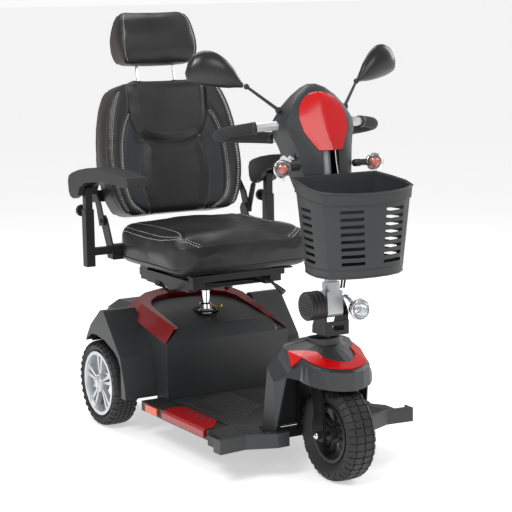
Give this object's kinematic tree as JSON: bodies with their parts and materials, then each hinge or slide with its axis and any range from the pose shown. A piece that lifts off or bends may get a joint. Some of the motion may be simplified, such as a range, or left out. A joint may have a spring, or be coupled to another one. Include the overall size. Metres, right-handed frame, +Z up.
{
  "type": "mobility scooter",
  "caption": "Battery mobility scooter with a tilting tiller, lift-off basket, swivelling captain's seat with folding back and flip-up armrests.",
  "frame": {"origin": "on the floor, midway between the outermost sides and midway between the front of the basket and the back of the seat", "axes": "+Z up, -Y is the way the scooter drives, +X is the rider's left"},
  "size_m": [0.672, 1.2343, 1.2125],
  "materials": {
    "frame": "black powder coat",
    "fork": "black powder coat",
    "seat_base": "black powder coat",
    "seat_pan": "black powder coat",
    "back_frame": "black powder coat",
    "arm_bar_left": "black powder coat",
    "arm_bar_right": "black powder coat",
    "arm_post_left": "black powder coat",
    "arm_post_right": "black powder coat",
    "rear_body": "charcoal satin",
    "front_shroud": "charcoal satin",
    "bumper_left": "charcoal satin",
    "bumper_right": "charcoal satin",
    "basket": "charcoal satin",
    "head_cover": "charcoal satin",
    "floor_pan": "black satin",
    "tilt_lever": "black satin",
    "horn_pod": "black satin",
    "console": "black satin",
    "throttle_lever": "black satin",
    "mirror_arm_left": "black satin",
    "mirror_arm_right": "black satin",
    "swivel_lever": "black satin",
    "slide_lever": "black satin",
    "recline_lever": "black satin",
    "front_rim": "black satin",
    "floor_mat": "black ribbed",
    "tiller_cables": "black jacket",
    "grip_left": "black foam",
    "grip_right": "black foam",
    "armrest_left": "soft black urethane",
    "armrest_right": "soft black urethane",
    "floor_insert_left": "glossy red",
    "floor_insert_right": "glossy red",
    "shroud_band": "glossy bright red",
    "head_panel": "glossy bright red",
    "body_trim": "dark red metallic",
    "reflector_left": "amber reflector",
    "reflector_right": "amber reflector",
    "indicator_left": "amber lamp with clear cover",
    "indicator_right": "amber lamp with clear cover",
    "mirror_left": "gloss black, mirror glass facing back",
    "mirror_right": "gloss black, mirror glass facing back",
    "transaxle": "cast, satin",
    "tiller_tube": "clear anodised",
    "handlebar": "clear anodised",
    "rear_rim_left": "silver lacquer",
    "rear_rim_right": "silver lacquer",
    "rear_tyre_left": "black tread",
    "rear_tyre_right": "black tread",
    "front_tyre": "black tread",
    "battery_pack": "dark battery case",
    "headlamp": "polished",
    "key": "polished",
    "seat_post": "polished",
    "headrest_posts": "polished",
    "headlamp_lens": "clear",
    "seat_cushion": "black leatherette",
    "backrest": "black leatherette",
    "headrest": "black leatherette"
  },
  "bodies": {
    "chassis": {"frame": "frame", "floor_pan": "floor_pan", "floor_mat": "floor_mat", "floor_insert_left": "floor_insert_left", "floor_insert_right": "floor_insert_right", "reflector_left": "reflector_left", "reflector_right": "reflector_right", "bumper_left": "bumper_left", "bumper_right": "bumper_right", "rear_body": "rear_body", "body_trim": "body_trim", "front_shroud": "front_shroud", "shroud_band": "shroud_band", "transaxle": "transaxle", "battery_pack": "battery_pack", "seat_post": "seat_post"},
    "rear_wheel_left": {"rear_rim_left": "rear_rim_left", "rear_tyre_left": "rear_tyre_left"},
    "rear_wheel_right": {"rear_rim_right": "rear_rim_right", "rear_tyre_right": "rear_tyre_right"},
    "fork": {"fork": "fork"},
    "front_wheel": {"front_rim": "front_rim", "front_tyre": "front_tyre"},
    "tiller": {"tiller_tube": "tiller_tube", "horn_pod": "horn_pod", "headlamp": "headlamp", "headlamp_lens": "headlamp_lens", "head_cover": "head_cover", "head_panel": "head_panel", "console": "console", "handlebar": "handlebar", "grip_left": "grip_left", "grip_right": "grip_right", "indicator_left": "indicator_left", "indicator_right": "indicator_right", "tiller_cables": "tiller_cables"},
    "tilt_lever": {"tilt_lever": "tilt_lever"},
    "basket": {"basket": "basket"},
    "throttle": {"throttle_lever": "throttle_lever"},
    "key": {"key": "key"},
    "mirror_arm_left": {"mirror_arm_left": "mirror_arm_left"},
    "mirror_arm_right": {"mirror_arm_right": "mirror_arm_right"},
    "mirror_left": {"mirror_left": "mirror_left"},
    "mirror_right": {"mirror_right": "mirror_right"},
    "seat_base": {"seat_base": "seat_base"},
    "swivel_lever": {"swivel_lever": "swivel_lever"},
    "seat": {"seat_pan": "seat_pan", "seat_cushion": "seat_cushion"},
    "slide_lever": {"slide_lever": "slide_lever"},
    "back": {"backrest": "backrest", "back_frame": "back_frame"},
    "headrest": {"headrest": "headrest", "headrest_posts": "headrest_posts"},
    "recline_lever": {"recline_lever": "recline_lever"},
    "arm_bar_left": {"arm_bar_left": "arm_bar_left"},
    "arm_post_left": {"arm_post_left": "arm_post_left"},
    "armrest_left": {"armrest_left": "armrest_left"},
    "arm_bar_right": {"arm_bar_right": "arm_bar_right"},
    "arm_post_right": {"arm_post_right": "arm_post_right"},
    "armrest_right": {"armrest_right": "armrest_right"}
  },
  "joints": [
    {"name": "rear_wheel_spin_left", "type": "hinge", "parent": "chassis", "child": "rear_wheel_left", "pos_m": [0.256, 0.4204, 0.127], "axis": [1, 0, 0], "continuous": true},
    {"name": "rear_wheel_spin_right", "type": "hinge", "parent": "chassis", "child": "rear_wheel_right", "pos_m": [-0.256, 0.4204, 0.127], "axis": [1, 0, 0], "continuous": true},
    {"name": "steering", "type": "hinge", "parent": "chassis", "child": "fork", "pos_m": [0, -0.3666, 0.365], "axis": [0, 0.2079, 0.9781], "range_deg": [-40, 40]},
    {"name": "front_wheel_spin", "type": "hinge", "parent": "fork", "child": "front_wheel", "pos_m": [0, -0.4316, 0.127], "axis": [1, 0, 0], "continuous": true},
    {"name": "tiller_tilt", "type": "hinge", "parent": "fork", "child": "tiller", "pos_m": [0, -0.4102, 0.445], "axis": [-1, 0, 0], "range_deg": [-5, 25]},
    {"name": "tilt_lever_press", "type": "hinge", "parent": "tiller", "child": "tilt_lever", "pos_m": [0.029, -0.3926, 0.487], "axis": [1, 0, 0], "range_deg": [0, 18], "stiffness_Nm_per_rad": 1},
    {"name": "basket_lift", "type": "slide", "parent": "tiller", "child": "basket", "axis": [0, 0.083, 0.9965], "range_m": [0, 0.06]},
    {"name": "throttle_wigwag", "type": "hinge", "parent": "tiller", "child": "throttle", "pos_m": [0, -0.2846, 0.9147], "axis": [0, 0, 1], "range_deg": [-12, 12], "stiffness_Nm_per_rad": 2},
    {"name": "key_turn", "type": "hinge", "parent": "tiller", "child": "key", "pos_m": [-0.09, -0.3646, 0.842], "axis": [1, 0, 0], "range_deg": [0, 90]},
    {"name": "mirror_arm_fold_left", "type": "hinge", "parent": "tiller", "child": "mirror_arm_left", "pos_m": [0.1005, -0.3226, 0.964], "axis": [1, 0, 0], "range_deg": [-15, 15]},
    {"name": "mirror_turn_left", "type": "hinge", "parent": "mirror_arm_left", "child": "mirror_left", "pos_m": [0.1685, -0.2776, 1.025], "axis": [0, 0, 1], "range_deg": [-15, 15]},
    {"name": "mirror_arm_fold_right", "type": "hinge", "parent": "tiller", "child": "mirror_arm_right", "pos_m": [-0.1005, -0.3226, 0.964], "axis": [1, 0, 0], "range_deg": [-15, 15]},
    {"name": "mirror_turn_right", "type": "hinge", "parent": "mirror_arm_right", "child": "mirror_right", "pos_m": [-0.1685, -0.2776, 1.025], "axis": [0, 0, 1], "range_deg": [-15, 15]},
    {"name": "seat_swivel", "type": "hinge", "parent": "chassis", "child": "seat_base", "pos_m": [0, 0.2754, 0.42], "axis": [0, 0, 1], "range_deg": [-90, 90]},
    {"name": "swivel_lever_press", "type": "hinge", "parent": "seat_base", "child": "swivel_lever", "pos_m": [-0.079, 0.2554, 0.418], "axis": [0, 0, 1], "range_deg": [-6, 0], "stiffness_Nm_per_rad": 1},
    {"name": "seat_slide", "type": "slide", "parent": "seat_base", "child": "seat", "axis": [0, 1, 0], "range_m": [-0.05, 0.05]},
    {"name": "slide_lever_press", "type": "hinge", "parent": "seat", "child": "slide_lever", "pos_m": [0.092, 0.1154, 0.4545], "axis": [0, 0, 1], "range_deg": [0, 12], "stiffness_Nm_per_rad": 1},
    {"name": "back_recline", "type": "hinge", "parent": "seat", "child": "back", "pos_m": [0, 0.4504, 0.605], "axis": [-1, 0, 0], "range_deg": [-52, 28]},
    {"name": "recline_lever_press", "type": "hinge", "parent": "seat", "child": "recline_lever", "pos_m": [0.256, 0.4504, 0.605], "axis": [-1, 0, 0], "range_deg": [0, 20], "stiffness_Nm_per_rad": 1},
    {"name": "headrest_height", "type": "slide", "parent": "back", "child": "headrest", "axis": [0, 0.1908, 0.9816], "range_m": [-0.03, 0.04]},
    {"name": "arm_width_left", "type": "slide", "parent": "seat", "child": "arm_bar_left", "axis": [-1, 0, 0], "range_m": [-0.05, 0]},
    {"name": "arm_height_left", "type": "slide", "parent": "arm_bar_left", "child": "arm_post_left", "axis": [0, 0, 1], "range_m": [0, 0.05]},
    {"name": "arm_flip_left", "type": "hinge", "parent": "arm_post_left", "child": "armrest_left", "pos_m": [0.305, 0.4454, 0.708], "axis": [-1, 0, 0], "range_deg": [0, 92]},
    {"name": "arm_width_right", "type": "slide", "parent": "seat", "child": "arm_bar_right", "axis": [1, 0, 0], "range_m": [-0.05, 0]},
    {"name": "arm_height_right", "type": "slide", "parent": "arm_bar_right", "child": "arm_post_right", "axis": [0, 0, 1], "range_m": [0, 0.05]},
    {"name": "arm_flip_right", "type": "hinge", "parent": "arm_post_right", "child": "armrest_right", "pos_m": [-0.305, 0.4454, 0.708], "axis": [-1, 0, 0], "range_deg": [0, 92]}
  ]
}
